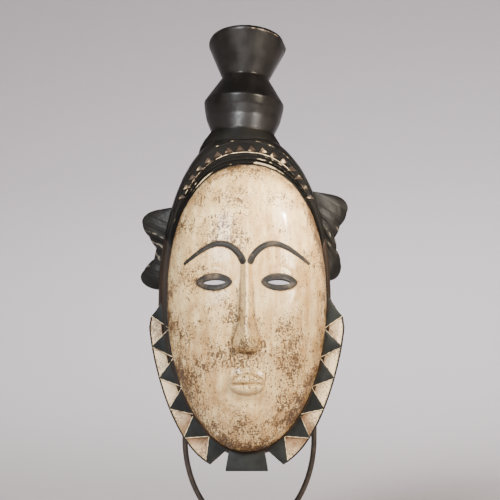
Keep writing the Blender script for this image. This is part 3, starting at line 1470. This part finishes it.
def rodPath():
    span, back, tip = stand["span"], stand["back"], stand["tip"]
    half = [(span, back, tip - below) for below in (0.0, 0.0004, 0.001)]
    half += [(span, back, tip + (stand["curveStart"] - tip) * i / 14) for i in range(1, 14)]
    for i in range(49):
        turn = math.pi / 2 * i / 48
        half.append((span * math.cos(turn), back, stand["curveStart"] - stand["drop"] * math.sin(turn)))
    return half + [(-x, y, z) for x, y, z in reversed(half[:-1])]


def buildRod():
    path = rodPath()
    radius = [stand["radius"]] * len(path)
    for i, (below, share) in enumerate(stand["tipRounding"]):
        radius[i] = radius[-1 - i] = stand["radius"] * share
    return tubeObject("rodPiece", path, radius)


def buildStem():
    heights = (stand["bottom"], 0.012, 0.03, stand["curveStart"] - stand["drop"])
    return tubeObject("stemPiece", [(0, stand["back"], z) for z in heights], stand["radius"])


def buildFoot():
    half, corner, bevel, rise = (stand[name] for name in ("footSize", "footCorner", "bevel", "footThickness"))
    half = half / 2
    corners = []
    for signX, signY in ((1, 1), (-1, 1), (-1, -1), (1, -1)):
        for i in range(9):
            turn = math.atan2(signY, signX) - math.pi / 4 + math.pi / 2 * i / 8
            x = signX * (half - corner) + corner * math.cos(turn)
            corners.append((x, signY * (half - corner) + corner * math.sin(turn)))
    # height and inset of each ring; the two inmost keep the top flat
    rings = (
        (0.0, 0.0003), (0.0003, 0.0), (rise - bevel, 0.0), (rise - bevel * 0.3, bevel * 0.3),
        (rise, bevel), (rise, bevel * 2), (rise, bevel * 4),
    )
    loops = []
    for z, inset in rings:
        loops.append([(x * (half - inset) / half, y * (half - inset) / half, z) for x, y in corners])
    item = loftObject("footPiece", loops, [np.array([0, 0, 0.0]), np.array([0, 0, rise])])
    path = [(0, stand["back"], z) for z in (0.004, rise + 0.01)]
    cutAway(item, [tubeObject("socket", path, stand["radius"] + stand["socketGap"])], "EXACT")
    return item


settle(buildRod(), "stand_rod", [steel], 40, False)
settle(buildStem(), "stand_rod", [steel], 40, False)
settle(buildFoot(), "stand_foot", [steel], 35, False)
print("stand made")


# Floor, light and camera

studio = {
    "lens": 121.5,
    "sensor": 36.0,
    "camera": (0.0005, -1.63, 0.3210),
    "wall": (0.62, 0.585, 0.605),
    "floor": (1.1, 3.9),  # flat part, then the sweep up to the wall
    "wallHeight": 5.0,
    "sides": 96,
    "world": ((0.95, 0.95, 1.0), 0.11),
    # place, aimed at, size, watts, colour, spread in degrees
    "lights": {
        "coolLight": ((-0.75, -1.65, 1.40), (0, 0, 0.33), (0.5, 0.9), 72, (0.96, 0.975, 1.0), 180),
        "warmLight": ((1.15, -1.30, 1.00), (0, 0, 0.33), (0.2, 0.4), 52, (1.0, 0.86, 0.66), 180),
        "sparkLight": ((0.946, -0.843, 1.404), (0.03, -0.05, 0.35), (0.09, 0.10), 0.13, (1.0, 0.93, 0.84), 5),
        "groundLight": ((0.2, 0.2, 2.4), (0.5, 3.1, 0.0), (1.6, 0.8), 38, (1.0, 0.95, 0.985), 90),
        "coolGlow": ((-0.17, -0.62, 0.02), (-0.01, -0.03, 0.50), (0.10, 0.30), 0.9, (0.95, 0.97, 1.0), 32),
        "warmGlow": ((0.34, -0.50, 0.02), (-0.01, -0.03, 0.50), (0.05, 0.25), 0.5, (1.0, 0.92, 0.84), 32),
        "backLight": ((-0.1, 2.3, 1.7), (0, 0, 0.33), (0.9, 0.6), 8, (1.0, 0.97, 0.94), 180),
    },
}


def buildStage():
    # a round floor that sweeps up to a wall, so that every side of the mask has the same plain ground
    (flat, sweep), sides = studio["floor"], studio["sides"]
    profile = [(flat * 0.5, 0.0), (flat, 0.0)]
    for i in range(1, 25):
        turn = math.pi / 2 * i / 24
        profile.append((flat + sweep * math.sin(turn), sweep * (1 - math.cos(turn))))
    profile.append((flat + sweep, studio["wallHeight"]))
    angle = np.linspace(0, 2 * math.pi, sides, endpoint=False)
    loops = [np.stack([r * np.cos(angle), r * np.sin(angle), np.full(sides, z)], axis=-1) for r, z in profile]
    points = np.concatenate([*loops, [[0, 0, 0]]])
    faces = [tuple(reversed(quad)) for quad in loftFaces(len(loops), sides)]
    faces += [(k, (k + 1) % sides, len(points) - 1) for k in range(sides)]
    item = addObject("studioFloor", makeMesh("studioFloor", points, faces))
    material, tree, shader = newMaterial("studioGrey")
    shader.inputs["Base Color"].default_value = (*studio["wall"], 1.0)
    shader.inputs["Roughness"].default_value = 0.9
    item.data.materials.append(material)
    item.data.shade_smooth()


def addLight(name, location, target, size, power, colour, spread):
    light = bpy.data.lights.new(name, "AREA")
    light.shape = "RECTANGLE"
    light.size, light.size_y = size
    light.energy = power
    light.color = colour
    light.spread = math.radians(spread)
    item = addObject(name, light)
    item.location = location
    item.rotation_euler = (Vector(target) - Vector(location)).to_track_quat("-Z", "Y").to_euler()
    item.visible_camera = False


buildStage()
for name, values in studio["lights"].items():
    addLight(name, *values)

world = bpy.data.worlds.new("studio")
world.use_nodes = True
colour, strength = studio["world"]
world.node_tree.nodes["Background"].inputs["Color"].default_value = (*colour, 1.0)
world.node_tree.nodes["Background"].inputs["Strength"].default_value = strength
bpy.context.scene.world = world

camera = bpy.data.cameras.new("view")
camera.lens = studio["lens"]
camera.sensor_width = studio["sensor"]
cameraObject = addObject("view", camera)
cameraObject.location = studio["camera"]
cameraObject.rotation_euler = (math.pi / 2, 0, 0)
bpy.context.scene.camera = cameraObject
print("studio made")

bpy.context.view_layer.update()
triangles = sum(len(p.vertices) - 2 for item in bodyPieces for p in item.data.polygons)
print("pieces", len(bodyPieces), "triangles", triangles)
